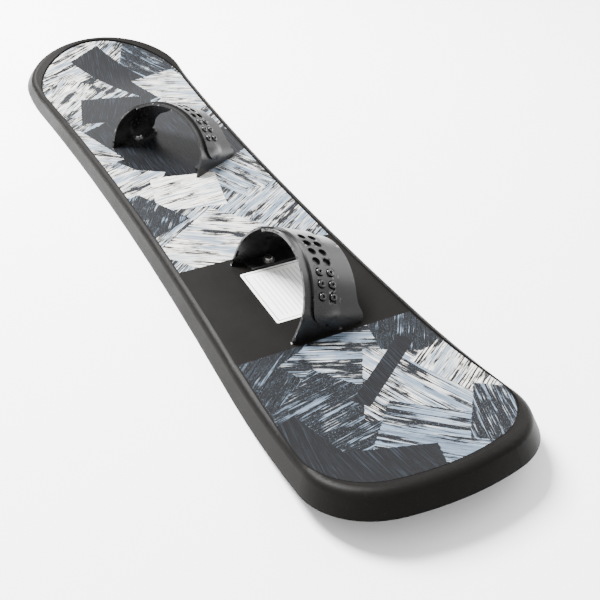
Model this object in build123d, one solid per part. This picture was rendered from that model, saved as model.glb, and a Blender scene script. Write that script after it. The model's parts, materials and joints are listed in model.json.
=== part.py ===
"""Child's moulded plastic snowboard with two snap-strap bindings.

Millimetres. +Y points to the nose, +X to the toe side, +Z up. The origin is on the floor
under the middle of the board. One STEP file per physical piece goes to parts/.
"""
from build123d import *
import math
import os

# ---- board ----------------------------------------------------------------------------
board_length = 1100.0        # tip to tail, measured on the floor
waist_width = 222.0          # across the running base at its narrowest
waist_y = -89.0              # the narrowest place sits towards the tail
sidecut_radius = 6500.0      # of each long side
board_thickness = 22.0       # running base to rim crest
tail_corner_radius = 66.0    # of the film's edge; the nose is one arc between the long sides
tail_tip_radius = 230.0
nose_kick_y = 383.0          # the base leaves the floor here
tail_kick_y = -312.0
nose_kick_radius = 324.0     # of the running base, seen from the side
tail_kick_radius = 888.0
wall_flare = 8.0             # the side wall leans out by this much from crest to base
rim_crest = 8.0              # from the edge of the printed film out to the crest line
rim_radius = 9.0             # rounding of that crest
tray_depth = 1.5             # the deck floor lies this far under the crest
tray_margin = 2.0            # bare floor between film and rim
film_thickness = 0.3
film_end_gap = 26.0          # from each tip of the board to the film
skin_thickness = 2.5         # deck shell over the foam
base_thickness = 3.0         # running base sheet

# ---- tracking grooves in the running base -----------------------------------------------
groove_width = 12.0
groove_depth = 1.4
groove_spacing = 96.0
groove_end_gap = 60.0        # from each end of the flat running length

# ---- printed film -----------------------------------------------------------------------
front_film_end_y = -144.5    # the front film reaches from the nose to here
tail_film_end_y = -315.0     # the tail film reaches from the tail to here

# ---- sticker between the feet of the rear binding ---------------------------------------
label_width = 76.0
label_length = 96.0
label_thickness = 0.2
label_centre = (2.0, -225.0)

# ---- bindings ---------------------------------------------------------------------------
rear_binding_y = -233.5
front_binding_y = 137.5
front_binding_angle = 30.0   # the front foot turns towards the nose
arch_half_span = 76.0        # centre to the face where both straps touch
arch_height = 58.5           # crown of that face over the arch's base line, square to the tilt
arch_side_radius = 38.0      # the arch starts with this radius on each side
arch_tilt = 22.0             # the arch drops towards the toes
arch_offset_x = 18.3         # where the arch's base line stands over the deck
strap_thickness = 2.8
strap_gap = 0.3              # between the two straps where they lie on each other
strap_heel_edge = -50.0      # strap edges, measured along the arch's axis
strap_toe_edge = 15.0
foot_heel_x = -38.0          # strap foot on the deck
foot_toe_x = 47.0
foot_waist_x = 44.0          # the toe edge is narrowest here
foot_waist_z = 20.0
flange_heel_x = -22.0        # plate under the boot, narrower than the wall
flange_toe_x = 40.0
flange_depth = 18.0
flange_thickness = 3.0
foot_corner_radius = 6.0

# ---- tongue and pegs --------------------------------------------------------------------
tongue_centre_w = -25.1      # along the arch's axis
tongue_width = 34.0
row_pitch = 12.6
row_count = 7
peg_row_count = 3
column_spacing = 13.4
last_row_rise = 32.2         # last row over the arch's base line, along the strap
hole_diameter = 9.6
peg_root_diameter = 7.6
peg_tip_diameter = 5.0
peg_stand_out = 2.2          # peg tip over the tongue's outer face
peg_bore_diameter = 3.0
peg_bore_depth = 3.5
tab_length = 28.0            # from the last row to the end of the pull tab
shoulder_rise = 48.8         # the wide wall narrows to the tongue here, along the strap
shoulder_length = 16.0
free_end_rise = 40.0         # the peg strap's free end inside the wall
free_end_taper = 14.0
fold_gap = 0.3               # between the wall's part of the tongue and the part that lifts

# ---- fasteners --------------------------------------------------------------------------
screw_diameter = 5.0
screw_clearance = 0.25       # radial, in flange, washer and deck
screw_head_diameter = 10.0
screw_head_height = 3.2
screw_recess_diameter = 4.0
screw_recess_depth = 1.6
screw_reach = 9.0            # below the deck skin
washer_diameter = 14.0
washer_thickness = 1.2
screw_from_wall = 9.5        # screw axis to the wall's inner face
insert_diameter = 9.0
insert_length = 12.0
insert_wall_gap = 0.05       # radial, between insert and foam

# ---- worked-out heights -----------------------------------------------------------------
crest_z = board_thickness
floor_z = crest_z - tray_depth
foam_top_z = floor_z - skin_thickness
mould_height = 3.2 * board_thickness
film_half_width = waist_width / 2 - wall_flare - rim_crest
side_centre_x = film_half_width + sidecut_radius


def side_point(y, outset):
    """A point on the long side of an outline set out from the film's edge."""
    reach = math.sqrt((sidecut_radius - outset) ** 2 - (y - waist_y) ** 2)
    return side_centre_x - reach, y


def nose_joint(tip_y, outset):
    """Where the nose's arc meets the long side; its radius follows from the tip."""
    side_r = sidecut_radius - outset
    depth = tip_y - waist_y
    radius = (side_centre_x ** 2 + depth ** 2 - side_r ** 2) / (2 * (side_r + depth))
    share = side_r / (side_r + radius)
    return side_centre_x * (1 - share), waist_y + (depth - radius) * share


def tail_joints(tip_y, outset):
    """The ends of the tail's corner arc, on the long side and on the tip's arc, and its middle."""
    side_r = sidecut_radius - outset
    corner_r = tail_corner_radius + outset
    tip_r = tail_tip_radius + outset
    tip_centre_y = tip_y + tip_r
    reach = side_r + corner_r
    inside = tip_r - corner_r
    dx, dy = -side_centre_x, tip_centre_y - waist_y
    apart = math.hypot(dx, dy)
    along = (reach ** 2 - inside ** 2 + apart ** 2) / (2 * apart)
    across = math.sqrt(reach ** 2 - along ** 2)
    cx = side_centre_x + (along * dx - across * dy) / apart
    cy = waist_y + (along * dy + across * dx) / apart
    share = side_r / reach
    start = (side_centre_x + (cx - side_centre_x) * share, waist_y + (cy - waist_y) * share)
    end = (cx * tip_r / inside, tip_centre_y + (cy - tip_centre_y) * tip_r / inside)
    mx, my = (start[0] + end[0]) / 2 - cx, (start[1] + end[1]) / 2 - cy
    size = corner_r / math.hypot(mx, my)
    return start, (cx + mx * size, cy + my * size), end


def outline(outset, nose_y, tail_y, z=0.0):
    """Closed plan face of the board at a given outset, with its own nose and tail tips."""
    nose = nose_joint(nose_y, outset)
    start, middle, end = tail_joints(tail_y, outset)
    side = side_point((nose[1] + start[1]) / 2, outset)

    def at(point, flip=1):
        return (flip * point[0], point[1], z)

    wire = Wire([
        ThreePointArc(at(start), at(side), at(nose)),
        ThreePointArc(at(nose), (0, nose_y, z), at(nose, -1)),
        ThreePointArc(at(nose, -1), at(side, -1), at(start, -1)),
        ThreePointArc(at(start, -1), at(middle, -1), at(end, -1)),
        ThreePointArc(at(end, -1), (0, tail_y, z), at(end)),
        ThreePointArc(at(end), at(middle), at(start)),
    ])
    return Face(wire)


def kick_profile(height):
    """Side view of a surface this far above the running base, as an open run of edges."""
    nose_r = nose_kick_radius - height
    tail_r = tail_kick_radius - height
    sweep_n = math.degrees(math.asin((board_length / 2 + 90 - nose_kick_y) / nose_kick_radius))
    sweep_t = math.degrees(math.asin((board_length / 2 + 60 + tail_kick_y) / tail_kick_radius))
    nose = CenterArc((nose_kick_y, height + nose_r), nose_r, -90, sweep_n)
    flat = Line((tail_kick_y, height), (nose_kick_y, height))
    tail = CenterArc((tail_kick_y, height + tail_r), tail_r, -90 - sweep_t, sweep_t)
    return tail, flat, nose


def layer(low, high):
    """Everything between two heights above the running base, following both kicks."""
    tail_l, flat_l, nose_l = kick_profile(low)
    tail_h, flat_h, nose_h = kick_profile(high)
    edges = [tail_l, flat_l, nose_l, Line(nose_l @ 1, nose_h @ 1),
             nose_h, flat_h, tail_h, Line(tail_h @ 0, tail_l @ 0)]
    section = Plane.YZ * Face(Wire(edges))
    return extrude(section, amount=board_length / 4, both=True)


def tip_slope(kick_radius, kick_y):
    """How far the end wall leans back per unit of height, and the base's height at the tip."""
    run = board_length / 2 - abs(kick_y)
    angle = math.asin(run / kick_radius)
    back = board_thickness * math.sin(angle) + wall_flare * math.cos(angle)
    rise = board_thickness * math.cos(angle) - wall_flare * math.sin(angle)
    tip_z = kick_radius - math.sqrt(kick_radius ** 2 - run ** 2)
    return back / rise, tip_z


def board_mould(inset):
    """The board's full plan shape with its leaning wall, set in by a wall thickness."""
    nose_lean, nose_tip_z = tip_slope(nose_kick_radius, nose_kick_y)
    tail_lean, tail_tip_z = tip_slope(tail_kick_radius, tail_kick_y)
    faces = []
    for z in (-5.0, mould_height):
        outset = rim_crest + wall_flare - wall_flare / board_thickness * z - inset
        nose_y = board_length / 2 + (nose_tip_z - z) * nose_lean - inset
        tail_y = -(board_length / 2 + (tail_tip_z - z) * tail_lean - inset)
        faces.append(outline(outset, nose_y, tail_y, z))
    return loft(faces, ruled=True)


def film_outline(outset):
    """Plan face of the film area, set out by a margin."""
    nose_y = board_length / 2 - film_end_gap + outset
    tail_y = -(board_length / 2 - film_end_gap) - outset
    return outline(outset, nose_y, tail_y)


def plan_block(face):
    """A plan face pulled up through the whole board."""
    return extrude(face, amount=2 * mould_height)


# ---- arch of the straps: drawn square to its axis, in (span, rise) ---------------------------

crown_radius = (
    (arch_half_span - arch_side_radius) ** 2 + arch_height ** 2 - arch_side_radius ** 2
) / (2 * (arch_height - arch_side_radius))
side_angle = math.degrees(math.atan2(
    crown_radius - arch_height, arch_half_span - arch_side_radius))
wall_depth = 60.0            # straight wall drawn below the base line, cut off at the deck


def arch_run(offset):
    """Edges of the arch set out by an offset, from the peg side's wall over to the other."""
    side_r = arch_side_radius + offset
    crown_r = crown_radius + offset
    b = arch_half_span + offset
    side_c = arch_half_span - arch_side_radius
    peg_wall = Line((-b, -wall_depth), (-b, 0))
    peg_side = CenterArc((-side_c, 0), side_r, 180, -side_angle)
    crown = CenterArc((0, arch_height - crown_radius), crown_r, 180 - side_angle, 2 * side_angle - 180)
    far_side = CenterArc((side_c, 0), side_r, side_angle, -side_angle)
    far_wall = Line((b, 0), (b, -wall_depth))
    return [peg_wall, peg_side, crown, far_side, far_wall]


def arch_point(rise, offset=0.0):
    """Point on the peg side this far up along the strap, with its outward direction."""
    side_length = arch_side_radius * math.radians(side_angle)
    if rise <= side_length:
        angle = 180 - math.degrees(rise / arch_side_radius)
        centre = (-(arch_half_span - arch_side_radius), 0.0)
        radius = arch_side_radius + offset
    else:
        angle = 180 - side_angle - math.degrees((rise - side_length) / crown_radius)
        centre = (0.0, arch_height - crown_radius)
        radius = crown_radius + offset
    out = (math.cos(math.radians(angle)), math.sin(math.radians(angle)))
    return (centre[0] + radius * out[0], centre[1] + radius * out[1]), out


def band(inner, outer):
    """The arch as a bent sheet between two offsets, long enough to be trimmed."""
    low = arch_run(inner)
    high = arch_run(outer)
    edges = low + [Line(low[-1] @ 1, high[-1] @ 1)] + high + [Line(high[0] @ 0, low[0] @ 0)]
    section = Plane.YZ * Face(Wire(edges))
    return extrude(section, amount=100, both=True)


def tilt(shape):
    """From the arch's own frame into the binding's frame, whose floor is the deck."""
    return Pos(arch_offset_x, 0, 0) * Rot(0, arch_tilt, 0) * shape


def side_trim():
    """Side view of a strap, pulled through the whole binding."""
    lean = math.radians(arch_tilt)
    axis = (math.cos(lean), -math.sin(lean))
    up = (math.sin(lean), math.cos(lean))

    def at(w, rise):
        return (arch_offset_x + w * axis[0] + rise * up[0], w * axis[1] + rise * up[1])

    toe_mid = at(strap_toe_edge, 0.8 * arch_height)
    toe_top = at(strap_toe_edge, 2 * arch_height)
    heel_top = at(strap_heel_edge, 2 * arch_height)
    r = foot_corner_radius
    toe_low = (foot_toe_x, r)
    corner = ThreePointArc(
        (foot_toe_x - r, 0), (foot_toe_x - r * (1 - math.sqrt(0.5)), r * (1 - math.sqrt(0.5))), toe_low)
    toe_edge = Spline(toe_low, (foot_waist_x, foot_waist_z), toe_mid, tangents=((0, 1), up))
    edges = [Line((foot_heel_x, 0), (foot_toe_x - r, 0)), corner, toe_edge,
             Line(toe_mid, toe_top), Line(toe_top, heel_top), Line(heel_top, (foot_heel_x, 0))]
    section = Plane.XZ * Face(Wire(edges))
    return extrude(section, amount=2 * arch_half_span, both=True)


def row_rises():
    """How far up the strap each hole row sits, from the one nearest the peg strap's foot."""
    return [last_row_rise + row_pitch * i for i in range(row_count)]


def column_places():
    return [tongue_centre_w - column_spacing / 2, tongue_centre_w + column_spacing / 2]


def studs(rises, low, high, low_radius, high_radius):
    """Round studs square to the strap, from one offset to another, in the arch's frame."""
    made = []
    for rise in rises:
        (y0, z0), (oy, oz) = arch_point(rise)
        for w in column_places():
            start = (w, y0 + oy * low, z0 + oz * low)
            seat = Plane(origin=start, x_dir=(1, 0, 0), z_dir=(0, oy, oz))
            height = high - low
            if low_radius == high_radius:
                body = Cylinder(low_radius, height, align=(Align.CENTER, Align.CENTER, Align.MIN))
            else:
                body = Cone(low_radius, high_radius, height, align=(Align.CENTER, Align.CENTER, Align.MIN))
            made.append(seat * body)
    return made


def flange(wall_y, inward):
    """Foot of a strap, flat on the deck under the boot; inward is +1 or -1 along Y."""
    depth = flange_depth + strap_thickness / 2
    centre_y = wall_y + inward * depth / 2
    plate = Box(flange_toe_x - flange_heel_x, depth, flange_thickness,
                align=(Align.CENTER, Align.CENTER, Align.MIN))
    inner = [e for e in plate.edges().filter_by(Axis.Z) if e.center().Y * inward > 0]
    plate = fillet(inner, foot_corner_radius)
    return Pos((flange_heel_x + flange_toe_x) / 2, centre_y, 0) * plate


def screw_places():
    """Screw axes in the binding's frame: the peg strap's foot, then the tongue strap's."""
    x = (foot_heel_x + foot_toe_x) / 2
    peg_inner = arch_half_span - strap_thickness
    wall_inner = arch_half_span + strap_gap
    return [(x, -(peg_inner - screw_from_wall)), (x, wall_inner - screw_from_wall)]


def screw_holes(low, high, radius):
    return [Pos(x, y, low) * Cylinder(radius, high - low, align=(Align.CENTER, Align.CENTER, Align.MIN))
            for x, y in screw_places()]


def peg_strap():
    """The strap with the pegs, passing under the tongue and ending inside the other wall."""
    sheet = band(-strap_thickness, 0)
    (free_y, _), _ = arch_point(free_end_rise)
    (taper_y, _), _ = arch_point(free_end_rise + free_end_taper)
    free_y, taper_y = -free_y, -taper_y
    cut_back = (strap_toe_edge - strap_heel_edge) / 4
    plan = Polygon(
        (-90, -120), (90, -120), (90, taper_y), (strap_toe_edge, taper_y),
        (strap_toe_edge - cut_back, free_y), (strap_heel_edge + cut_back, free_y),
        (strap_heel_edge, taper_y), (-90, taper_y), align=None)
    sheet = sheet & extrude(plan, amount=150, both=True)
    top = strap_gap + strap_thickness + peg_stand_out
    rises = row_rises()[:peg_row_count]
    sheet = sheet + studs(rises, -strap_thickness / 2, top, peg_root_diameter / 2, peg_tip_diameter / 2)
    sheet = sheet - studs(rises, top - peg_bore_depth, top + 1, peg_bore_diameter / 2, peg_bore_diameter / 2)
    strap = tilt(sheet) & side_trim()
    strap = strap + flange(-(arch_half_span - strap_thickness / 2), 1)
    return strap - screw_holes(-1, flange_thickness + 1, screw_diameter / 2 + screw_clearance)


def fold_plane():
    """Where the lifting part of the tongue bends: a plane across its outer face."""
    rise = last_row_rise + row_pitch * (peg_row_count - 0.5)
    (y, z), (oy, oz) = arch_point(rise, strap_gap + strap_thickness)
    return Plane(origin=(0, y, z), x_dir=(1, 0, 0), z_dir=(0, oz, -oy))


def half_space(plane, shift):
    """A large block on the plane's positive side, moved along its normal."""
    return plane * Pos(0, 0, shift) * Box(400, 400, 400, align=(Align.CENTER, Align.CENTER, Align.MIN))


def tongue_sheet():
    """The outer strap in one: wide wall, shoulder, tongue with its holes and pull tab."""
    sheet = band(strap_gap, strap_gap + strap_thickness)
    (wide_y, _), _ = arch_point(shoulder_rise)
    (slim_y, _), _ = arch_point(shoulder_rise + shoulder_length)
    wide_y, slim_y = -wide_y, -slim_y
    heel = tongue_centre_w - tongue_width / 2
    toe = tongue_centre_w + tongue_width / 2
    edges = [
        Line((heel, -120), (toe, -120)),
        Line((toe, -120), (toe, slim_y)),
        Spline((toe, slim_y), (strap_toe_edge, wide_y), tangents=((0, 1), (0, 1))),
        Line((strap_toe_edge, wide_y), (90, wide_y)),
        Line((90, wide_y), (90, 120)),
        Line((90, 120), (-90, 120)),
        Line((-90, 120), (-90, wide_y)),
        Line((-90, wide_y), (strap_heel_edge, wide_y)),
        Spline((strap_heel_edge, wide_y), (heel, slim_y), tangents=((0, -1), (0, -1))),
        Line((heel, slim_y), (heel, -120)),
    ]
    sheet = sheet & extrude(Face(Wire(edges)), amount=150, both=True)
    end_rise = last_row_rise - tab_length
    radius = tongue_width / 2
    tab = Pos(tongue_centre_w, end_rise + radius) * Circle(radius)
    tab = tab + Pos(tongue_centre_w, end_rise + radius + 100) * Rectangle(tongue_width, 200)
    tab_block = extrude(Plane.XZ * tab, amount=120)
    far_block = Pos(0, 100, 0) * Box(300, 200, 400)
    sheet = sheet & (tab_block + far_block)
    reach = strap_gap + strap_thickness + 3
    return sheet - studs(row_rises(), -3, reach, hole_diameter / 2, hole_diameter / 2)


def strap_wall():
    """The outer strap's foot, wall and the part of the tongue that stays down."""
    upper = tongue_sheet() & half_space(fold_plane(), fold_gap / 2)
    strap = tilt(upper) & side_trim()
    strap = strap + flange(arch_half_span + strap_gap + strap_thickness / 2, -1)
    return strap - screw_holes(-1, flange_thickness + 1, screw_diameter / 2 + screw_clearance)


def tongue():
    """The end of the tongue, which peels off the pegs."""
    lifting = tongue_sheet() - half_space(fold_plane(), -fold_gap / 2)
    return tilt(lifting)


def screw():
    """Pan-head screw standing on z = 0, its shank pointing down."""
    head = Cylinder(screw_head_diameter / 2, screw_head_height,
                    align=(Align.CENTER, Align.CENTER, Align.MIN))
    head = fillet(head.edges().sort_by(Axis.Z)[-1], screw_head_height * 0.6)
    length = washer_thickness + flange_thickness + skin_thickness + screw_reach
    shank = Cylinder(screw_diameter / 2, length, align=(Align.CENTER, Align.CENTER, Align.MAX))
    recess = Box(screw_recess_diameter, 1.0, 2 * screw_recess_depth)
    recess = recess + Box(1.0, screw_recess_diameter, 2 * screw_recess_depth)
    return head + shank - Pos(0, 0, screw_head_height) * recess


def washer():
    ring = Circle(washer_diameter / 2) - Circle(screw_diameter / 2 + screw_clearance)
    return extrude(ring, amount=washer_thickness)


def insert():
    """Threaded insert with a collar at its lower end, its top on z = 0."""
    barrel = Cylinder(insert_diameter / 2, insert_length, align=(Align.CENTER, Align.CENTER, Align.MAX))
    collar = Cylinder(washer_diameter / 2, 1.5, align=(Align.CENTER, Align.CENTER, Align.MIN))
    body = barrel + Pos(0, 0, -insert_length) * collar
    bore = Cylinder(screw_diameter / 2 + insert_wall_gap, insert_length,
                    align=(Align.CENTER, Align.CENTER, Align.MAX))
    return body - bore


def insert_pocket():
    """Room for an insert, cut into the foam."""
    gap = insert_wall_gap
    barrel = Cylinder(insert_diameter / 2 + gap, insert_length + gap,
                      align=(Align.CENTER, Align.CENTER, Align.MAX))
    collar = Cylinder(washer_diameter / 2 + gap, 1.5 + 2 * gap,
                      align=(Align.CENTER, Align.CENTER, Align.MIN))
    return barrel + Pos(0, 0, -insert_length - gap) * collar


# ---- placing the bindings on the board ---------------------------------------------------

bindings = {
    "front": Pos(0, front_binding_y, 0) * Rot(0, 0, front_binding_angle),
    "rear": Pos(0, rear_binding_y, 0),
}
binding_floor = {"front": floor_z + film_thickness, "rear": floor_z}
foot_names = ("peg_strap", "strap_wall")


def on_board(end, shape, z):
    return bindings[end] * Pos(0, 0, z) * shape


def all_screw_cuts(low, high, radius):
    return [bindings[end] * cut for end in bindings for cut in screw_holes(low, high, radius)]


def base_height(y):
    """Height of the running base over the floor at y."""
    nose = max(0.0, y - nose_kick_y)
    tail = max(0.0, tail_kick_y - y)
    nose_rise = nose_kick_radius - math.sqrt(nose_kick_radius ** 2 - nose ** 2)
    return nose_rise + tail_kick_radius - math.sqrt(tail_kick_radius ** 2 - tail ** 2)


def is_crest_edge(edge):
    """True for the edges between deck and side wall, not those across the deck at a kick."""
    middle = edge @ 0.5
    on_top = middle.Z - base_height(middle.Y) > board_thickness / 2
    across = abs((edge @ 0).Y - (edge @ 1).Y) < 1 and tail_kick_y - 1 < middle.Y < nose_kick_y + 1
    up_the_wall = abs((edge @ 0).Z - (edge @ 1).Z) > board_thickness / 2 and edge.length < 30
    return on_top and not across and not up_the_wall


def make_board():
    """Deck shell, running base and foam core, with their screw holes and pockets."""
    mould = board_mould(0)
    body = mould & layer(0, crest_z)
    body = fillet([edge for edge in body.edges() if is_crest_edge(edge)], rim_radius)
    tray = plan_block(film_outline(tray_margin)) & layer(floor_z, 2 * crest_z)
    body = body - tray
    inner_mould = board_mould(skin_thickness)
    core = inner_mould & layer(base_thickness, foam_top_z)
    base = body & layer(-1, base_thickness)
    hollow = inner_mould & layer(0, foam_top_z)
    deck = (body & layer(base_thickness, crest_z + 1)) - hollow
    holes = all_screw_cuts(foam_top_z - 1, floor_z + 1, screw_diameter / 2 + screw_clearance)
    deck = deck - holes
    for place in bindings.values():
        for x, y in screw_places():
            core = core - place * Pos(x, y, foam_top_z) * insert_pocket()
    base = base - tracking_grooves()
    return deck, base, core


def tracking_grooves():
    """Two shallow channels that keep the board running straight."""
    start = tail_kick_y + groove_end_gap
    end = nose_kick_y - groove_end_gap
    slot = SlotOverall(end - start, groove_width, rotation=90)
    cutters = []
    for side in (-1, 1):
        place = Pos(side * groove_spacing / 2, (start + end) / 2, -1)
        cutters.append(place * extrude(slot, amount=1 + groove_depth))
    return cutters


def make_film(from_y, to_y, holes):
    """Printed film lying in the tray between two places along the board."""
    sheet = plan_block(film_outline(0)) & layer(floor_z, floor_z + film_thickness)
    window = Pos(0, (from_y + to_y) / 2, 0) * Box(board_length, to_y - from_y, 8 * board_thickness)
    return (sheet & window) - holes


def make_label():
    plate = extrude(RectangleRounded(label_width, label_length, 2.0), amount=label_thickness)
    return Pos(*label_centre, floor_z) * plate


def build():
    """Every piece by name, in the board's frame."""
    pieces = {}
    pieces["deck_shell"], pieces["base_shell"], pieces["foam_core"] = make_board()
    film_holes = all_screw_cuts(floor_z - 1, crest_z, screw_diameter / 2 + screw_clearance)
    pieces["front_graphic_film"] = make_film(front_film_end_y, board_length, film_holes)
    pieces["tail_graphic_film"] = make_film(-board_length, tail_film_end_y, [])
    pieces["blank_label"] = make_label()
    straps = {"peg_strap": peg_strap(), "strap_wall": strap_wall(), "tongue": tongue()}
    for end in bindings:
        floor = binding_floor[end]
        for name, shape in straps.items():
            pieces[f"{end}_{name}"] = on_board(end, shape, floor)
        for foot, (x, y) in zip(foot_names, screw_places()):
            flange_top = floor + flange_thickness
            pieces[f"{end}_{foot}_washer"] = on_board(end, Pos(x, y) * washer(), flange_top)
            head_seat = flange_top + washer_thickness
            pieces[f"{end}_{foot}_screw"] = on_board(end, Pos(x, y) * screw(), head_seat)
            pieces[f"{end}_{foot}_insert"] = on_board(end, Pos(x, y) * insert(), foam_top_z)
    return pieces


def main():
    os.makedirs("parts", exist_ok=True)
    for name, shape in build().items():
        export_step(shape, f"parts/{name}.step")


if __name__ == "__main__":
    main()
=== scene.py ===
"""Looks of a child's moulded snowboard with two snap-strap bindings, built round the CAD frame.

Metres in the scene. Strap shapes are laid out flat in millimetres: w across the strap, run
along it, and are then bent over the arch.
"""
import json
import math

import bpy
from mathutils import Matrix, Vector
from mathutils.geometry import delaunay_2d_cdt


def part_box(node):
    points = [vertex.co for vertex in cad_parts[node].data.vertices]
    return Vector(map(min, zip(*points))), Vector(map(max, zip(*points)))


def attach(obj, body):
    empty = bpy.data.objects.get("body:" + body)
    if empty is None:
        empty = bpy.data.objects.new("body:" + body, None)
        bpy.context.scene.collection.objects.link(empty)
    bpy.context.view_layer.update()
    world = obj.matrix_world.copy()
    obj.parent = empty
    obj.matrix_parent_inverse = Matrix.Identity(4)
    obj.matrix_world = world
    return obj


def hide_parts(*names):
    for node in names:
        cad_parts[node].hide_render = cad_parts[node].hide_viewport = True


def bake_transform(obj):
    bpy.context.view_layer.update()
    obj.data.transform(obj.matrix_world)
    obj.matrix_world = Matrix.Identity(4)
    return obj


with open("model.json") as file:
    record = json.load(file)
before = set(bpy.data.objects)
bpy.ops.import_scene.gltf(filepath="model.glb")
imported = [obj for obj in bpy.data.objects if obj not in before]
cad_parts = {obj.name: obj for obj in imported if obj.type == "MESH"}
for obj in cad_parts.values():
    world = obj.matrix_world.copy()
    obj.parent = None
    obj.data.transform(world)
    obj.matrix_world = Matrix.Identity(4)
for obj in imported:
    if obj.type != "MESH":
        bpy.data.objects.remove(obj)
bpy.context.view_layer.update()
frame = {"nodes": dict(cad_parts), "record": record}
MM = 0.001

# ---- strap dimensions, in millimetres ------------------------------------------------------
HALF_SPAN = 76.0             # centre to the face where both straps touch
ARCH_HEIGHT = 58.5
SIDE_RADIUS = 38.0
TILT = math.radians(22.0)    # the arch drops towards the toes
ARCH_X = 18.3                # where the arch's base line stands over the deck
THICKNESS = 2.8
GAP = 0.3
HEEL_W, TOE_W = -50.0, 15.0
FOOT_HEEL_X, FOOT_TOE_X = -38.0, 47.0
WAIST_X, WAIST_Z = 44.0, 20.0
FOOT_CORNER = 6.0
FLANGE_HEEL_X, FLANGE_TOE_X = -22.0, 40.0
FLANGE_DEPTH, FLANGE_THICKNESS = 19.4, 3.0
FLANGE_GRID = 6.0            # spacing of the plate's mesh points
TONGUE_W, TONGUE_WIDTH = -25.1, 34.0
ROW_PITCH, ROWS, PEG_ROWS = 12.6, 7, 3
COLUMN_SPACING = 13.4
LAST_ROW = 32.2
HOLE_RADIUS = 4.8
TAB_LENGTH = 28.0
SHOULDER_RUN, SHOULDER_LENGTH = 48.8, 16.0
FREE_END_RUN, FREE_END_TAPER = 40.0, 14.0
SCREW_X = (FOOT_HEEL_X + FOOT_TOE_X) / 2
SCREW_FROM_WALL = 9.5
SCREW_HOLE_RADIUS = 2.75
PEG_SCREW_Y = -(HALF_SPAN - THICKNESS - SCREW_FROM_WALL)
WALL_SCREW_Y = HALF_SPAN + GAP - SCREW_FROM_WALL
EDGE_ROUNDING = 0.7
PEG_PROFILE = (              # (radius, height over the face where the straps touch)
    (3.8, -1.4), (3.85, 2.6), (4.05, 3.6), (4.0, 4.3), (3.6, 4.9), (2.9, 5.25),
    (2.1, 5.3), (1.6, 5.05), (1.4, 4.5), (1.3, 3.0), (0.9, 2.6))
TAB_SWELL = 1.6              # thumb swelling on the pull tab
TAB_SWELL_RUN = 17.0         # its middle, this far past the last hole row
TAB_SWELL_HALF_WIDTH, TAB_SWELL_HALF_LENGTH = 13.0, 11.0
RELIEF_DEPTH = 1.5           # hollow in the strap wall over the screw
RELIEF_HALF_WIDTH, RELIEF_HALF_LENGTH = 3.2, 13.0
RELIEF_W = (SCREW_X - ARCH_X) / math.cos(TILT)
RELIEF_RUN = 16.0

CROWN_RADIUS = ((HALF_SPAN - SIDE_RADIUS) ** 2 + ARCH_HEIGHT ** 2 - SIDE_RADIUS ** 2) / (
    2 * (ARCH_HEIGHT - SIDE_RADIUS))
SIDE_ANGLE = math.atan2(CROWN_RADIUS - ARCH_HEIGHT, HALF_SPAN - SIDE_RADIUS)
SIDE_RUN = SIDE_RADIUS * SIDE_ANGLE
ARCH_RUN = 2 * (SIDE_RUN + CROWN_RADIUS * (math.pi / 2 - SIDE_ANGLE))


# ---- materials ----------------------------------------------------------------------------

class Graph:
    """A material's node tree, with one short call for each kind of node used here."""

    def __init__(self, name):
        self.material = bpy.data.materials.new(name)
        self.material.use_nodes = True
        self.tree = self.material.node_tree
        self.shader = self.tree.nodes["Principled BSDF"]

    def feed(self, socket, value):
        if isinstance(value, bpy.types.NodeSocket):
            self.tree.links.new(value, socket)
        else:
            socket.default_value = value

    def add(self, kind, inputs=None, **settings):
        node = self.tree.nodes.new("ShaderNode" + kind)
        for name, value in settings.items():
            setattr(node, name, value)
        for key, value in (inputs or {}).items():
            self.feed(node.inputs[key], value)
        return node

    def place(self):
        return self.add("TexCoord").outputs["Object"]

    def math(self, operation, a, b=0.0, c=0.0):
        return self.add("Math", {0: a, 1: b, 2: c}, operation=operation).outputs[0]

    def stretch(self, vector, scale, turn=0.0):
        node = self.add("Mapping", {"Vector": vector, "Scale": scale})
        node.inputs["Rotation"].default_value = (0, 0, turn)
        return node.outputs[0]

    def noise(self, vector, scale, detail=3.0, roughness=0.5, distortion=0.0):
        inputs = {"Vector": vector, "Scale": scale, "Detail": detail,
                  "Roughness": roughness, "Distortion": distortion}
        return self.add("TexNoise", inputs).outputs["Fac"]

    def remap(self, value, low, high, to_low=0.0, to_high=1.0):
        inputs = {0: value, 1: low, 2: high, 3: to_low, 4: to_high}
        return self.add("MapRange", inputs).outputs[0]

    def mix(self, factor, a, b):
        return self.add("Mix", {0: factor, 6: a, 7: b}, data_type="RGBA").outputs[2]

    def mix_vector(self, factor, a, b):
        return self.add("Mix", {0: factor, 4: a, 5: b}, data_type="VECTOR").outputs[1]

    def bump(self, height, distance, strength=1.0):
        inputs = {"Height": height, "Distance": distance, "Strength": strength}
        return self.add("Bump", inputs).outputs[0]

    def finish(self, **sockets):
        for name, value in sockets.items():
            self.feed(self.shader.inputs[name.replace("_", " ")], value)
        return self.material


def grey(value):
    return (value, value, value, 1.0)


PAINT_LEVEL = 0.02           # scuffs on plastic and the label's print


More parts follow.
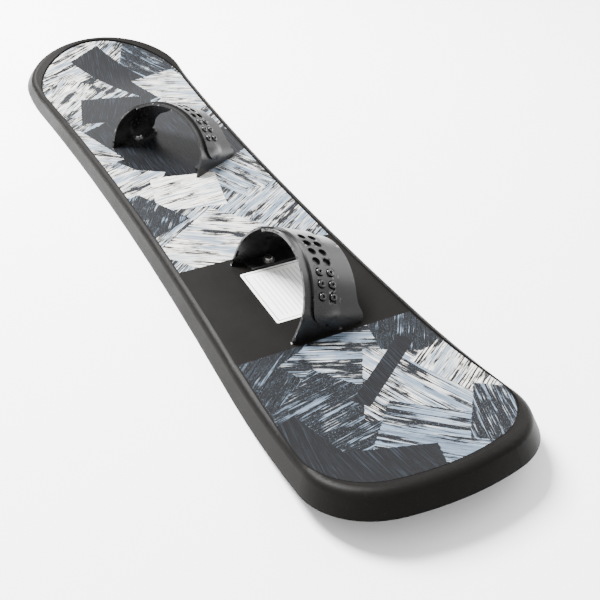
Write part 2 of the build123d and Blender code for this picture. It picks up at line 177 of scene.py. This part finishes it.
def plastic(name, dark, light, roughness, grain_size=0.0007, grain_depth=0.00012, scuffs=0.25,
            specular=0.045):
    """Moulded plastic: slow tone drift, fine grain and faint handling scuffs."""
    g = Graph(name)
    place = g.place()
    drift = g.noise(place, 14.0, 4.0)
    grain = g.noise(place, 1 / grain_size, 2.0)
    lines = g.noise(g.stretch(place, (420.0, 24.0, 160.0), 0.5), 1.0, 4.0, 0.7, 0.4)
    scuff = g.remap(lines, 0.62, 0.74, 0.0, scuffs)
    tone = g.mix(drift, dark, light)
    tone = g.mix(scuff, tone, grey(PAINT_LEVEL))
    shine = g.math("ADD", g.remap(drift, 0.3, 0.7, roughness - 0.05, roughness + 0.06), g.math(
        "MULTIPLY", scuff, 0.3))
    shine = g.math("ADD", shine, g.remap(grain, 0.3, 0.7, -0.03, 0.03))
    return g.finish(Base_Color=tone, Roughness=shine, Normal=g.bump(grain, grain_depth),
                    Specular_IOR_Level=specular)


def metal(name, colour, roughness):
    """Plated steel or brass with fine turning marks."""
    g = Graph(name)
    place = g.place()
    marks = g.noise(g.stretch(place, (900.0, 900.0, 5000.0)), 1.0, 3.0, 0.6)
    dull = g.noise(place, 180.0, 3.0)
    tone = g.mix(dull, tuple(c * 0.7 for c in colour[:3]) + (1.0,), colour)
    shine = g.remap(dull, 0.3, 0.7, roughness - 0.06, roughness + 0.1)
    return g.finish(Base_Color=tone, Roughness=shine, Metallic=1.0, Normal=g.bump(marks, 0.00005))


def foam(name):
    """Closed-cell bead foam."""
    g = Graph(name)
    place = g.place()
    cells = g.add("TexVoronoi", {"Vector": place, "Scale": 320.0}, feature="DISTANCE_TO_EDGE")
    edge = g.remap(cells.outputs[0], 0.0, 0.12)
    tone = g.mix(edge, grey(0.55), (0.86, 0.85, 0.8, 1.0))
    return g.finish(Base_Color=tone, Roughness=0.85, Normal=g.bump(edge, 0.0004))


# The film's collage: straight-edged patches laid over each other, the later on top. Each row:
# x and y of the middle, turn in degrees, half width, half length, tint (0 cream to 1 slate),
# cover (0 black to 1 light), brush direction in degrees. Lengths are in millimetres.
NOSE_PATCHES = (
    (-50, 474, 20, 64, 62, 0.45, 0.72, 66), (70, 456, -24, 44, 66, 0.85, 0.50, -34),
    (18, 420, 27, 30, 92, 0.10, 0.0, 10), (-84, 378, -38, 42, 62, 0.40, 0.74, 40),
    (86, 344, 14, 40, 78, 0.55, 0.78, -64), (-26, 312, -14, 54, 46, 0.20, 0.0, 20),
    (2, 176, 28, 88, 112, 0.20, 0.0, 0), (-104, 200, 16, 22, 62, 0.55, 0.74, -50),
    (-86, 78, -32, 44, 38, 0.45, 0.78, 66), (76, 46, 28, 58, 44, 0.65, 0.70, -24),
    (-20, 26, -12, 44, 44, 0.35, 0.86, 84), (-94, -14, 26, 36, 46, 0.90, 0.50, 30),
    (84, -66, -18, 50, 56, 0.60, 0.74, 54), (-34, -96, 36, 60, 42, 0.45, 0.78, -58),
)
TAIL_PATCHES = (
    (-84, -352, -28, 52, 60, 1.05, 0.44, 50), (2, -350, 22, 56, 40, 0.85, 0.66, -66),
    (88, -350, -12, 48, 50, 1.10, 0.46, 34), (-50, -420, 34, 48, 50, 1.05, 0.54, 80),
    (38, -418, -30, 50, 54, 0.70, 0.74, -16), (102, -430, 18, 32, 60, 0.45, 0.76, 58),
    (-100, -452, 12, 26, 44, 0.90, 0.0, 10), (6, -488, 46, 42, 46, 0.85, 0.66, -42),
    (-50, -508, -22, 46, 30, 0.45, 0.0, 0), (88, -500, -40, 40, 42, 1.0, 0.60, 24),
    (24, -384, -54, 9, 58, 0.40, 0.0, 0),
)

# What lies under the patches, as (tint, cover, brush direction in radians).
NOSE_GROUND = (0.6, 0.66, 0.9)
TAIL_GROUND = (1.0, 0.5, -0.5)

CREAM = (0.56, 0.54, 0.49, 1.0)
SLATE = (0.115, 0.150, 0.195, 1.0)
NAVY = (0.030, 0.042, 0.062, 1.0)
SOOT = (0.0045, 0.0048, 0.0055, 1.0)
DEEP_BLACK, MID_BLACK = (0.0035, 0.0032, 0.0029, 1), (0.0060, 0.0055, 0.0050, 1)


def printed_film(name, patches, ground):
    """Glossy film printed with a collage of torn, dry-brushed paint patches."""
    g = Graph(name)
    place = g.place()
    ragged = g.remap(g.noise(place, 240.0, 4.0, 0.7), 0.0, 1.0, -0.05, 0.05)
    recipe = ground
    for x, y, turn, half_w, half_l, tint, cover, brush in patches:
        inputs = {"Vector": place, "Location": (x * MM, y * MM, 0),
                  "Rotation": (0, 0, math.radians(turn)), "Scale": (half_w * MM, half_l * MM, 1)}
        local = g.add("Mapping", inputs, vector_type="TEXTURE").outputs[0]
        reach = g.add("VectorMath", {0: local}, operation="ABSOLUTE").outputs[0]
        axes = g.add("SeparateXYZ", {0: reach}).outputs
        edge = g.math("ADD", g.math("MAXIMUM", axes[0], axes[1]), ragged)
        inside = g.math("LESS_THAN", edge, 1.0)
        recipe = g.mix_vector(inside, recipe, (tint, cover, math.radians(brush)))
    tint, cover, brush = g.add("SeparateXYZ", {0: recipe}).outputs
    turned = g.add("VectorRotate", {"Vector": place, "Angle": brush}, rotation_type="Z_AXIS")
    turned = turned.outputs[0]
    broad = g.noise(g.stretch(turned, (95.0, 9.0, 1.0)), 1.0, 5.0, 0.62, 0.6)
    hairs = g.noise(g.stretch(turned, (620.0, 20.0, 1.0)), 1.0, 4.0, 0.65, 0.25)
    blots = g.noise(place, 42.0, 5.0, 0.65)
    speck = g.remap(g.noise(place, 1300.0, 1.0), 0.66, 0.72)
    streak = g.math("ADD", g.math("MULTIPLY", broad, 0.45), g.math("MULTIPLY", hairs, 0.35))
    streak = g.math("ADD", streak, g.math("MULTIPLY", blots, 0.2))
    threshold = g.remap(cover, 0.0, 1.0, 0.68, 0.42)
    paint = g.remap(g.math("SUBTRACT", streak, threshold), -0.012, 0.022)
    shade = g.math("ADD", tint, g.remap(broad, 0.35, 0.65, -0.5, 0.5))
    shade = g.math("ADD", shade, g.remap(hairs, 0.35, 0.65, 0.35, -0.35))
    light = g.mix(g.remap(shade, 0.15, 0.85), CREAM, SLATE)
    light = g.mix(g.remap(shade, 0.95, 1.55, 0.0, 0.85), light, NAVY)
    dark = g.mix(g.remap(hairs, 0.55, 0.75, 0.0, 0.5), SOOT, NAVY)
    ink = g.mix(paint, dark, light)
    fleck = g.math("MULTIPLY", speck, g.remap(cover, 0.1, 0.5, 0.0, 0.8))
    ink = g.mix(g.math("MULTIPLY", fleck, g.math("SUBTRACT", 1.0, paint)), ink, SLATE)
    shine = g.remap(hairs, 0.3, 0.7, 0.24, 0.34)
    relief = g.bump(streak, 0.00006)
    return g.finish(Base_Color=ink, Roughness=shine, Normal=relief, Specular_IOR_Level=0.12,
                    Coat_Weight=0.05, Coat_Roughness=0.12)


# The label's lines, in millimetres.
BORDER_INSET, LINE_HALF_WIDTH = 3.4, 0.45
RULE_PITCH, RULE_HALF_WIDTH = 5.2, 0.42
FIELD_INSET = 10.0


def sticker(name, low, high):
    """White paper label with a thin border and plain ruled lines, and nothing written on it."""
    g = Graph(name)
    place = g.place()
    middle = [(a + b) / 2 for a, b in zip(low, high)]
    size = [(b - a) / 2 for a, b in zip(low, high)]
    inputs = {"Vector": place, "Location": (middle[0], middle[1], 0), "Scale": (MM, MM, 1)}
    local = g.add("Mapping", inputs, vector_type="TEXTURE").outputs[0]
    x, y, _ = g.add("SeparateXYZ", {0: local}).outputs
    from_x = g.math("SUBTRACT", size[0] / MM, g.math("ABSOLUTE", x))
    from_y = g.math("SUBTRACT", size[1] / MM, g.math("ABSOLUTE", y))
    from_edge = g.math("MINIMUM", from_x, from_y)
    border = g.math("COMPARE", from_edge, BORDER_INSET, LINE_HALF_WIDTH)
    rule = g.math("LESS_THAN", g.math("PINGPONG", x, RULE_PITCH / 2), RULE_HALF_WIDTH)
    field = g.math("GREATER_THAN", from_edge, FIELD_INSET)
    rules = g.math("MULTIPLY", g.math("MULTIPLY", rule, field), 0.6)
    fibre = g.noise(place, 1400.0, 3.0)
    paper = g.mix(fibre, (0.80, 0.80, 0.78, 1.0), (0.90, 0.90, 0.885, 1.0))
    ink = g.mix(g.math("MAXIMUM", border, rules), paper, grey(PAINT_LEVEL))
    return g.finish(Base_Color=ink, Roughness=g.remap(fibre, 0.3, 0.7, 0.40, 0.5),
                    Normal=g.bump(fibre, 0.00004))


def pale_floor(name):
    """Matt near-white floor with a very slow drift of tone."""
    g = Graph(name)
    place = g.place()
    tone = g.mix(g.noise(place, 2.0, 2.0), grey(0.93), grey(0.95))
    return g.finish(Base_Color=tone, Roughness=0.9)


MATERIALS = {
    "deck_plastic": plastic("deck_plastic", DEEP_BLACK, MID_BLACK, 0.40),
    "base_plastic": plastic("base_plastic", DEEP_BLACK, MID_BLACK, 0.36, scuffs=0.35),
    "strap_plastic": plastic(
        "strap_plastic", (0.0035, 0.0034, 0.0034, 1), (0.0065, 0.0063, 0.0063, 1), 0.30,
        grain_size=0.0005, grain_depth=0.00006, scuffs=0.1, specular=0.45),
    "foam": foam("foam"),
    "printed_film": printed_film("nose_film", NOSE_PATCHES, NOSE_GROUND),
    "label_paper": sticker("label_paper", *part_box("blank_label")),
    "screw_steel": metal("screw_steel", (0.34, 0.335, 0.33, 1.0), 0.34),
    "washer_steel": metal("washer_steel", (0.42, 0.42, 0.41, 1.0), 0.38),
    "insert_brass": metal("insert_brass", (0.75, 0.58, 0.28, 1.0), 0.35),
}
TAIL_FILM = printed_film("tail_film", TAIL_PATCHES, TAIL_GROUND)
PEG_PLASTIC = plastic("peg_plastic", grey(0.0035), grey(0.006), 0.16,
                      grain_size=0.0008, grain_depth=0.00002, scuffs=0.0, specular=0.5)


def dress_cad_nodes():
    """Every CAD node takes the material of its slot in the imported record."""
    slots = {part["node"]: part["material_slot"] for part in frame["record"]["subparts"]}
    for node, obj in frame["nodes"].items():
        material = TAIL_FILM if node == "tail_graphic_film" else MATERIALS[slots[node]]
        if obj.material_slots:
            for slot in obj.material_slots:
                slot.material = material
        else:
            obj.data.materials.append(material)


# ---- laying out the straps -----------------------------------------------------------------

def arch_face(run, offset):
    """Place square to the arch's axis, this far along from the peg side's base line."""
    side = -1 if run < ARCH_RUN / 2 else 1
    up = run if side < 0 else ARCH_RUN - run
    if up <= 0:
        return side * (HALF_SPAN + offset), up
    if up <= SIDE_RUN:
        angle = up / SIDE_RADIUS
        radius = SIDE_RADIUS + offset
        return side * (HALF_SPAN - SIDE_RADIUS + radius * math.cos(angle)), radius * math.sin(angle)
    angle = SIDE_ANGLE + (up - SIDE_RUN) / CROWN_RADIUS
    radius = CROWN_RADIUS + offset
    return side * radius * math.cos(angle), ARCH_HEIGHT - CROWN_RADIUS + radius * math.sin(angle)


def run_at(rise):
    """How far along the strap the touching face reaches this height in the arch's frame."""
    if rise <= 0:
        return rise
    if rise <= SIDE_RADIUS * math.sin(SIDE_ANGLE):
        return SIDE_RADIUS * math.asin(rise / SIDE_RADIUS)
    angle = math.asin(min(1.0, (rise - ARCH_HEIGHT + CROWN_RADIUS) / CROWN_RADIUS))
    return SIDE_RUN + CROWN_RADIUS * (angle - SIDE_ANGLE)


def laid_flat(x, z):
    """A point of the side view, as (w, run) on a strap's wall."""
    w = (x - ARCH_X) * math.cos(TILT) - z * math.sin(TILT)
    rise = (x - ARCH_X) * math.sin(TILT) + z * math.cos(TILT)
    return w, run_at(rise)


def hermite(a, b, slope_a, slope_b, t):
    """Cubic from a to b over t 0 to 1, with slopes already scaled to the span."""
    s = 1 - t
    start = s * s * (1 + 2 * t) * a + s * s * t * slope_a
    return start + t * t * (3 - 2 * t) * b - t * t * s * slope_b


def smooth(t):
    """Eased step from 0 to 1, held outside that range."""
    t = min(1.0, max(0.0, t))
    return t * t * (3 - 2 * t)


def heel_w(run):
    """The straps' heel edge: straight in the side view from the foot to above the crown."""
    rise = arch_face(min(run, ARCH_RUN - run), 0)[1]
    top_x = ARCH_X + HEEL_W * math.cos(TILT) + 2 * ARCH_HEIGHT * math.sin(TILT)
    top_z = -HEEL_W * math.sin(TILT) + 2 * ARCH_HEIGHT * math.cos(TILT)
    lean = (top_x - FOOT_HEEL_X) / top_z
    span = math.cos(TILT) + lean * math.sin(TILT)
    return (FOOT_HEEL_X - ARCH_X + rise * (lean * math.cos(TILT) - math.sin(TILT))) / span


def foot_outline():
    """Foot and toe edge of a strap wall, from the heel corner round to the full-width strap."""
    r = FOOT_CORNER
    sole = FOOT_TOE_X - r - FOOT_HEEL_X
    points = [laid_flat(FOOT_HEEL_X + i * sole / 24, 0) for i in range(25)]
    for i in range(1, 7):
        angle = math.radians(15 * i)
        points.append(laid_flat(FOOT_TOE_X - r + r * math.sin(angle), r - r * math.cos(angle)))
    top_rise = 0.8 * ARCH_HEIGHT
    top_x = ARCH_X + TOE_W * math.cos(TILT) + top_rise * math.sin(TILT)
    top_z = -TOE_W * math.sin(TILT) + top_rise * math.cos(TILT)
    mid_slope = (top_x - FOOT_TOE_X) / (top_z - r)
    for i in range(1, 7):
        t = i / 6
        x = hermite(FOOT_TOE_X, WAIST_X, 0, mid_slope * (WAIST_Z - r), t)
        points.append(laid_flat(x, r + (WAIST_Z - r) * t))
    span = top_z - WAIST_Z
    for i in range(1, 11):
        t = i / 10
        x = hermite(WAIST_X, top_x, mid_slope * span, math.tan(TILT) * span, t)
        points.append(laid_flat(x, WAIST_Z + span * t))
    return points


def steps(start, stop, size=3.0):
    """Evenly spaced values from start to stop, without start."""
    count = max(1, round(abs(stop - start) / size))
    return [start + (stop - start) * (i + 1) / count for i in range(count)]


def peg_strap_outline():
    """(w, run) round the peg strap, from its foot over the crown to its free end."""
    points = foot_outline()
    taper = ARCH_RUN - FREE_END_RUN - FREE_END_TAPER
    end = ARCH_RUN - FREE_END_RUN
    points += [(TOE_W, run) for run in steps(points[-1][1], taper)]
    cut = (TOE_W - HEEL_W) / 4
    points += [(TOE_W - cut * smooth(t), taper + (end - taper) * t) for t in steps(0, 1, 0.15)]
    points += [(w, end) for w in steps(TOE_W - cut, heel_w(taper) + cut)]
    points += [(heel_w(taper) + cut * smooth(t), taper + (end - taper) * t)
               for t in steps(1, 0, 0.15)]
    points += [(heel_w(run), run) for run in steps(taper, points[0][1])]
    return points[:-1]


def tongue_strap_outline():
    """(w, run) round the outer strap; run counts from its own foot here."""
    points = foot_outline()
    slim = SHOULDER_RUN + SHOULDER_LENGTH
    heel = TONGUE_W - TONGUE_WIDTH / 2
    toe = TONGUE_W + TONGUE_WIDTH / 2
    radius = TONGUE_WIDTH / 2
    tip = ARCH_RUN - (LAST_ROW - TAB_LENGTH)
    points += [(TOE_W, run) for run in steps(points[-1][1], SHOULDER_RUN)]
    points += [(TOE_W + (toe - TOE_W) * smooth(t), SHOULDER_RUN + SHOULDER_LENGTH * t)
               for t in steps(0, 1, 0.1)]
    points += [(toe, run) for run in steps(slim, tip - radius)]
    points += [(TONGUE_W + radius * math.cos(a), tip - radius + radius * math.sin(a))
               for a in steps(0, math.pi, math.pi / 20)]
    points += [(heel, run) for run in steps(tip - radius, slim)]
    wide_heel = heel_w(SHOULDER_RUN)
    points += [(heel + (wide_heel - heel) * smooth(t), slim - SHOULDER_LENGTH * t)
               for t in steps(0, 1, 0.1)]
    points += [(heel_w(run), run) for run in steps(SHOULDER_RUN, points[0][1])]
    return points[:-1]


def circle(w, run, radius, count=28):
    """Flat points evenly round a circle."""
    turns = [2 * math.pi * i / count for i in range(count)]
    return [(w + radius * math.cos(a), run + radius * math.sin(a)) for a in turns]


def hole_places(rows):
    """(w, run) of the holes or pegs in the rows nearest the peg strap's foot."""
    return [(TONGUE_W + side * COLUMN_SPACING / 2, LAST_ROW + ROW_PITCH * row)
            for row in range(rows) for side in (-1, 1)]


# ---- from flat outlines to bent sheets -----------------------------------------------------

def inside(point, loop):
    """True if a flat point is inside a closed loop."""
    x, y = point
    hit = False
    for (x0, y0), (x1, y1) in zip(loop, loop[1:] + loop[:1]):
        if (y0 > y) != (y1 > y) and x < x0 + (y - y0) * (x1 - x0) / (y1 - y0):
            hit = not hit
    return hit


def mesh_sheet(outline, holes, bend, grid=3.5, margin=1.3):
    """Vertices and faces of a sheet, from its flat outline, holes and bend.

    bend(point, side) places a flat point on the sheet's inner (0) or outer (1) face.
    """
    loops = [outline] + holes
    flat, edges = [], []
    for loop in loops:
        first = len(flat)
        flat += [Vector(p) for p in loop]
        edges += [(first + i, first + (i + 1) % len(loop)) for i in range(len(loop))]
    rim = [tuple(p) for p in flat]
    low_u, high_u = min(p[0] for p in outline), max(p[0] for p in outline)
    low_v, high_v = min(p[1] for p in outline), max(p[1] for p in outline)
    for u in steps(low_u, high_u, grid):
        for v in steps(low_v, high_v, grid):
            clear = all((u - a) ** 2 + (v - b) ** 2 > margin ** 2 for a, b in rim)
            if clear and inside((u, v), outline) and not any(inside((u, v), h) for h in holes):
                flat.append(Vector((u, v)))
    points, _, faces, *_ = delaunay_2d_cdt(flat, edges, [], 0, 1e-5)
    kept = []
    for face in faces:
        middle = sum((points[i] for i in face), Vector((0, 0))) / len(face)
        if inside(middle, outline) and not any(inside(middle, h) for h in holes):
            kept.append(tuple(face))
    count = len(points)
    verts = [bend(p, side) for side in (0, 1) for p in points]
    made = [tuple(reversed(f)) for f in kept] + [tuple(i + count for i in f) for f in kept]
    used = {(a, b): True for face in kept for a, b in zip(face, face[1:] + face[:1])}
    for a, b in used:        # in the order of the faces
        if (b, a) not in used:
            made.append((a, b, b + count, a + count))
    return verts, made


def lathe(profile, seat, count=32):
    """Vertices and faces of a turned shape; profile is (radius, height), seat places it."""
    verts = []
    for r, h in profile:
        for x, y in circle(0.0, 0.0, r, count):
            verts.append(seat @ Vector((x, y, h)))
    faces = []
    for ring in range(len(profile) - 1):
        for i in range(count):
            j = (i + 1) % count
            a, b = ring * count, (ring + 1) * count
            faces.append((a + i, a + j, b + j, b + i))
    last = (len(profile) - 1) * count
    faces.append(tuple(last + i for i in range(count)))
    faces.append(tuple(reversed(range(count))))
    return verts, faces


def join(parts):
    """One vertex and face list from several, with each face's material number."""
    verts, faces, numbers = [], [], []
    for (part_verts, part_faces), number in parts:
        base = len(verts)
        verts += part_verts
        faces += [tuple(i + base for i in face) for face in part_faces]
        numbers += [number] * len(part_faces)
    return verts, faces, numbers


def make_object(name, parts, materials, to_board, rounding=EDGE_ROUNDING):
    """A smooth-shaded object with softly rounded edges, from a binding's own millimetres."""
    verts, faces, numbers = join(parts)
    mesh = bpy.data.meshes.new(name)
    mesh.from_pydata([to_board @ v for v in verts], [], faces)
    for material in materials:
        mesh.materials.append(material)
    mesh.polygons.foreach_set("material_index", numbers)
    mesh.polygons.foreach_set("use_smooth", [True] * len(faces))
    mesh.update()
    obj = bpy.data.objects.new(name, mesh)
    bpy.context.scene.collection.objects.link(obj)
    bevel = obj.modifiers.new("edges", "BEVEL")
    bevel.width = rounding * MM
    bevel.segments = 3
    bevel.limit_method = "ANGLE"
    bevel.angle_limit = math.radians(50)
    obj.modifiers.new("normals", "WEIGHTED_NORMAL").keep_sharp = True
    return obj


# ---- one binding ---------------------------------------------------------------------------

def tilted(w, y, rise):
    """From the arch's own frame into the binding's frame."""
    x = ARCH_X + w * math.cos(TILT) + rise * math.sin(TILT)
    return Vector((x, y, rise * math.cos(TILT) - w * math.sin(TILT)))


def bend_peg_strap(point, side):
    """A flat point of the inner strap, on its inner (0) or outer (1) face."""
    offset = 0.0 if side else -THICKNESS
    y, rise = arch_face(point[1], offset)
    return tilted(point[0], y, rise)


def bend_tongue_strap(point, side):
    """The outer strap, with the thumb swelling on its pull tab and a relief over the screw."""
    w, own_run = point
    run = ARCH_RUN - own_run
    if side:
        tab = math.hypot((w - TONGUE_W) / TAB_SWELL_HALF_WIDTH,
                         (run - LAST_ROW + TAB_SWELL_RUN) / TAB_SWELL_HALF_LENGTH)
        offset = GAP + THICKNESS + TAB_SWELL * smooth(1.3 - tab)
    else:
        across = abs(w + own_run * math.tan(TILT) - RELIEF_W) / RELIEF_HALF_WIDTH
        along = abs(own_run - RELIEF_RUN) / RELIEF_HALF_LENGTH
        offset = GAP + RELIEF_DEPTH * smooth(1.4 - across) * smooth((1.0 - along) * 3)
    y, rise = arch_face(run, offset)
    return tilted(w, y, rise)


def flange(side):
    """The foot plate under the boot, with its screw hole; side is -1 for the peg strap."""
    wall = HALF_SPAN - THICKNESS / 2 if side < 0 else HALF_SPAN + GAP + THICKNESS / 2
    screw_y = PEG_SCREW_Y if side < 0 else WALL_SCREW_Y
    inner = side * (wall - FLANGE_DEPTH)
    outer = side * wall
    r = FOOT_CORNER
    loop = [(FLANGE_HEEL_X, outer), (FLANGE_HEEL_X, inner + side * r)]
    for i in range(1, 6):
        a = math.radians(18 * i)
        loop.append((FLANGE_HEEL_X + r - r * math.cos(a), inner + side * (r - r * math.sin(a))))
    for i in range(0, 6):
        a = math.radians(18 * i)
        loop.append((FLANGE_TOE_X - r + r * math.sin(a), inner + side * (r - r * math.cos(a))))
    loop.append((FLANGE_TOE_X, outer))
    if side > 0:
        loop.reverse()
    hole = circle(SCREW_X, screw_y, SCREW_HOLE_RADIUS, 20)

    def lift(point, top):
        return Vector((point[0], point[1], FLANGE_THICKNESS * top))

    return mesh_sheet(loop, [hole], lift, FLANGE_GRID)


def pegs():
    """The turned, hollow-tipped pegs, square to the strap."""
    made = []
    for w, run in hole_places(PEG_ROWS):
        y0, rise0 = arch_face(run, 0.0)
        y1, rise1 = arch_face(run, 1.0)
        low, high = tilted(w, y0, rise0), tilted(w, y1, rise1)
        turn = (high - low).to_track_quat("Z", "Y").to_matrix().to_4x4()
        made.append(lathe(PEG_PROFILE, Matrix.Translation(low) @ turn))
    return made


def binding_place(end):
    """The binding's frame, read off the two washers of the CAD frame."""
    def middle(foot):
        low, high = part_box(f"{end}_{foot}_washer")
        return Vector(((low.x + high.x) / 2, (low.y + high.y) / 2, low.z))

    peg, wall = middle("peg_strap"), middle("strap_wall")
    along = (wall - peg).normalized()
    across = Vector((along.y, -along.x, 0))
    up = Vector((0, 0, 1))
    origin = peg - along * PEG_SCREW_Y * MM - across * SCREW_X * MM - up * FLANGE_THICKNESS * MM
    turn = Matrix((across, along, up)).transposed().to_4x4()
    return Matrix.Translation(origin) @ turn @ Matrix.Scale(MM, 4)


def make_binding(end):
    """The two strap halves of one binding, standing in for the CAD's straps and tongue."""
    to_board = binding_place(end)
    strap = MATERIALS["strap_plastic"]
    sheet = mesh_sheet(peg_strap_outline(), [], bend_peg_strap)
    parts = [(sheet, 0), (flange(-1), 0)] + [(peg, 1) for peg in pegs()]
    peg_side = make_object(f"{end}_pegged_strap", parts, [strap, PEG_PLASTIC], to_board)
    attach(peg_side, "board")
    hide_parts(f"{end}_peg_strap")

    holes = [circle(w, ARCH_RUN - run, HOLE_RADIUS) for w, run in hole_places(ROWS)]
    sheet = mesh_sheet(tongue_strap_outline(), holes, bend_tongue_strap)
    outer = make_object(f"{end}_holed_strap", [(sheet, 0), (flange(1), 0)], [strap], to_board)
    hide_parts(f"{end}_strap_wall", f"{end}_tongue")

    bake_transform(outer)


# ---- stage ---------------------------------------------------------------------------------

def area_light(name, place, size, power):
    """A white area light aimed at the origin."""
    data = bpy.data.lights.new(name, "AREA")
    data.shape = "RECTANGLE"
    data.size, data.size_y = size
    data.energy = power
    lamp = bpy.data.objects.new(name, data)
    bpy.context.scene.collection.objects.link(lamp)
    lamp.location = place
    lamp.rotation_euler = (-Vector(place)).to_track_quat("-Z", "Y").to_euler()


def make_stage():
    """A pale plain floor just under the base, a white world and two soft lights."""
    size, level = 8.0, -0.0004
    corners = [(x * size, y * size, level) for x, y in ((-1, -1), (1, -1), (1, 1), (-1, 1))]
    mesh = bpy.data.meshes.new("floor")
    mesh.from_pydata(corners, [], [(0, 1, 2, 3)])
    mesh.materials.append(pale_floor("floor"))
    floor = bpy.data.objects.new("floor", mesh)
    bpy.context.scene.collection.objects.link(floor)

    world = bpy.data.worlds.new("studio")
    world.use_nodes = True
    colour, strength = world.node_tree.nodes["Background"].inputs[:2]
    colour.default_value = grey(1.0)
    strength.default_value = 1.5
    bpy.context.scene.world = world
    area_light("key", (-0.6, 1.2, 2.0), (1.0, 1.0), 440)
    area_light("side", (1.7, 0.2, 1.3), (1.6, 1.2), 24)


def make_camera():
    """The photograph's view: from behind the tail on the heel side, looking down."""
    yaw, pitch, roll = math.radians(28.56), math.radians(36.88), math.radians(1.88)
    data = bpy.data.cameras.new("camera")
    data.sensor_width = 36.0
    data.lens = 47.93
    camera = bpy.data.objects.new("camera", data)
    bpy.context.scene.collection.objects.link(camera)
    turn = Matrix.Rotation(-yaw, 4, "Z") @ Matrix.Rotation(math.pi / 2 - pitch, 4, "X")
    turn = turn @ Matrix.Rotation(roll, 4, "Z")
    camera.matrix_world = Matrix.Translation((-0.3246, -0.8500, 0.5356)) @ turn
    bpy.context.scene.camera = camera


dress_cad_nodes()
for end in ("front", "rear"):
    make_binding(end)
make_stage()
make_camera()
